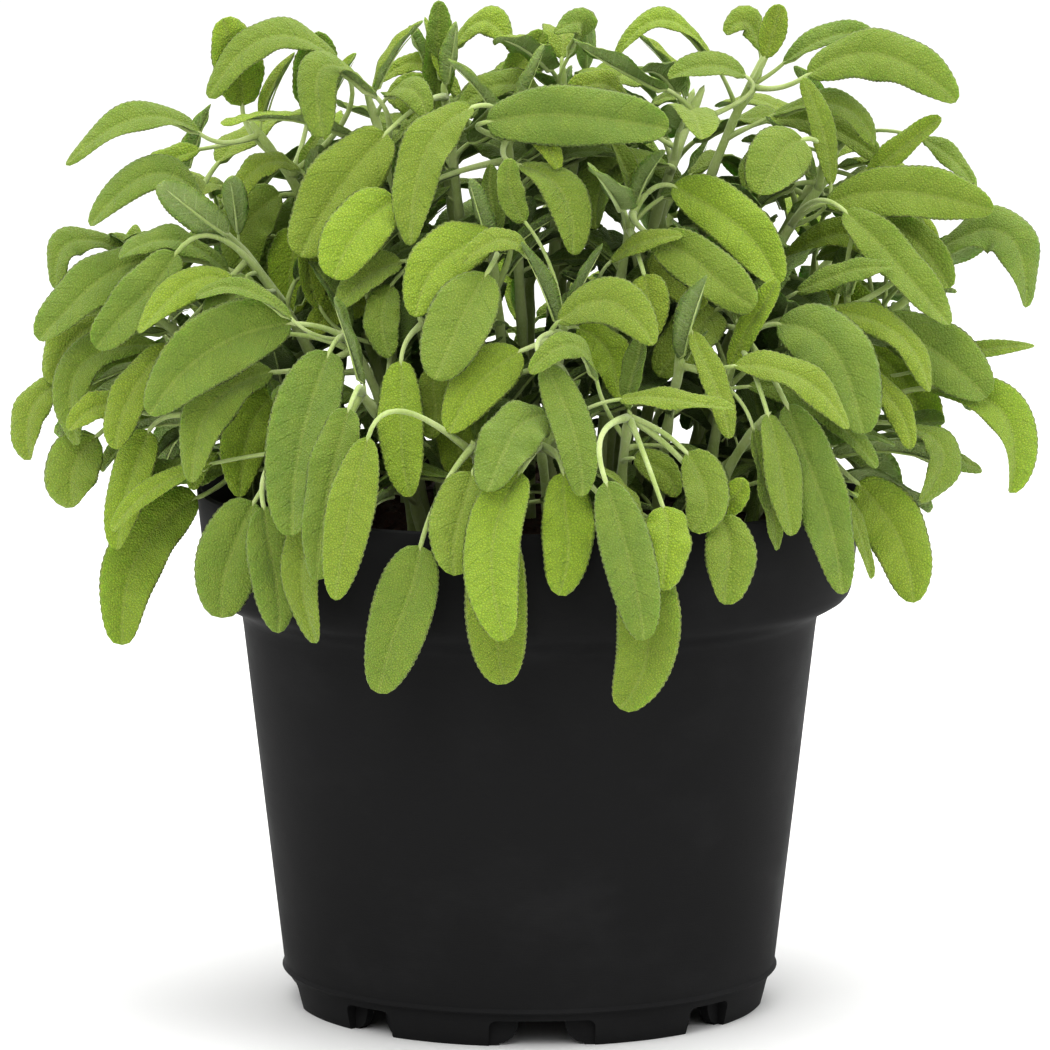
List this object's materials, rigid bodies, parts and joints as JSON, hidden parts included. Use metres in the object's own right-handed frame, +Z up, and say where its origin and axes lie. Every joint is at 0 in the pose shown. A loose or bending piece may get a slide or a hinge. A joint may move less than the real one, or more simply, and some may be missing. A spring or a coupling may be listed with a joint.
{
  "type": "potted sage plant",
  "caption": "Bushy sage plant with soft grey-green leaves on woolly stems, growing in a round black nursery pot with a deep rim.",
  "frame": {"origin": "on the surface the pot stands on, under the middle of the pot", "axes": "+Z up; -Y is the front of the plant; +X to the right seen from the front"},
  "size_m": [0.2154, 0.1761, 0.2118],
  "materials": {
    "pot_plastic": "matte black injection-moulded plastic",
    "potting_soil": "loose, moist peat and bark fibre",
    "sage_leaf": "matte, pebbled and finely downy leaf"
  },
  "bodies": {
    "root": {"pot": "pot_plastic", "soil": "potting_soil", "leafy_stem_01": "sage_leaf", "leafy_stem_02": "sage_leaf", "leafy_stem_03": "sage_leaf", "leafy_stem_04": "sage_leaf", "leafy_stem_05": "sage_leaf", "leafy_stem_06": "sage_leaf", "leafy_stem_07": "sage_leaf", "leafy_stem_08": "sage_leaf", "leafy_stem_09": "sage_leaf", "leafy_stem_10": "sage_leaf", "leafy_stem_11": "sage_leaf", "leafy_stem_12": "sage_leaf", "leafy_stem_13": "sage_leaf", "leafy_stem_14": "sage_leaf", "leafy_stem_15": "sage_leaf", "leafy_stem_16": "sage_leaf", "leafy_stem_17": "sage_leaf", "leafy_stem_18": "sage_leaf", "leafy_stem_19": "sage_leaf", "leafy_stem_20": "sage_leaf", "leafy_stem_21": "sage_leaf", "leafy_stem_22": "sage_leaf", "leafy_stem_23": "sage_leaf", "leafy_stem_24": "sage_leaf", "leafy_stem_25": "sage_leaf", "leafy_stem_26": "sage_leaf", "leafy_stem_27": "sage_leaf", "leafy_stem_28": "sage_leaf", "leafy_stem_29": "sage_leaf", "leafy_stem_30": "sage_leaf", "leafy_stem_31": "sage_leaf", "leafy_stem_32": "sage_leaf", "leafy_stem_33": "sage_leaf", "leafy_stem_34": "sage_leaf", "leafy_stem_35": "sage_leaf", "leafy_stem_36": "sage_leaf", "leafy_stem_37": "sage_leaf", "leafy_stem_38": "sage_leaf", "leafy_stem_39": "sage_leaf", "leafy_stem_40": "sage_leaf", "leafy_stem_41": "sage_leaf", "leafy_stem_42": "sage_leaf", "leafy_stem_43": "sage_leaf"}
  },
  "joints": []
}
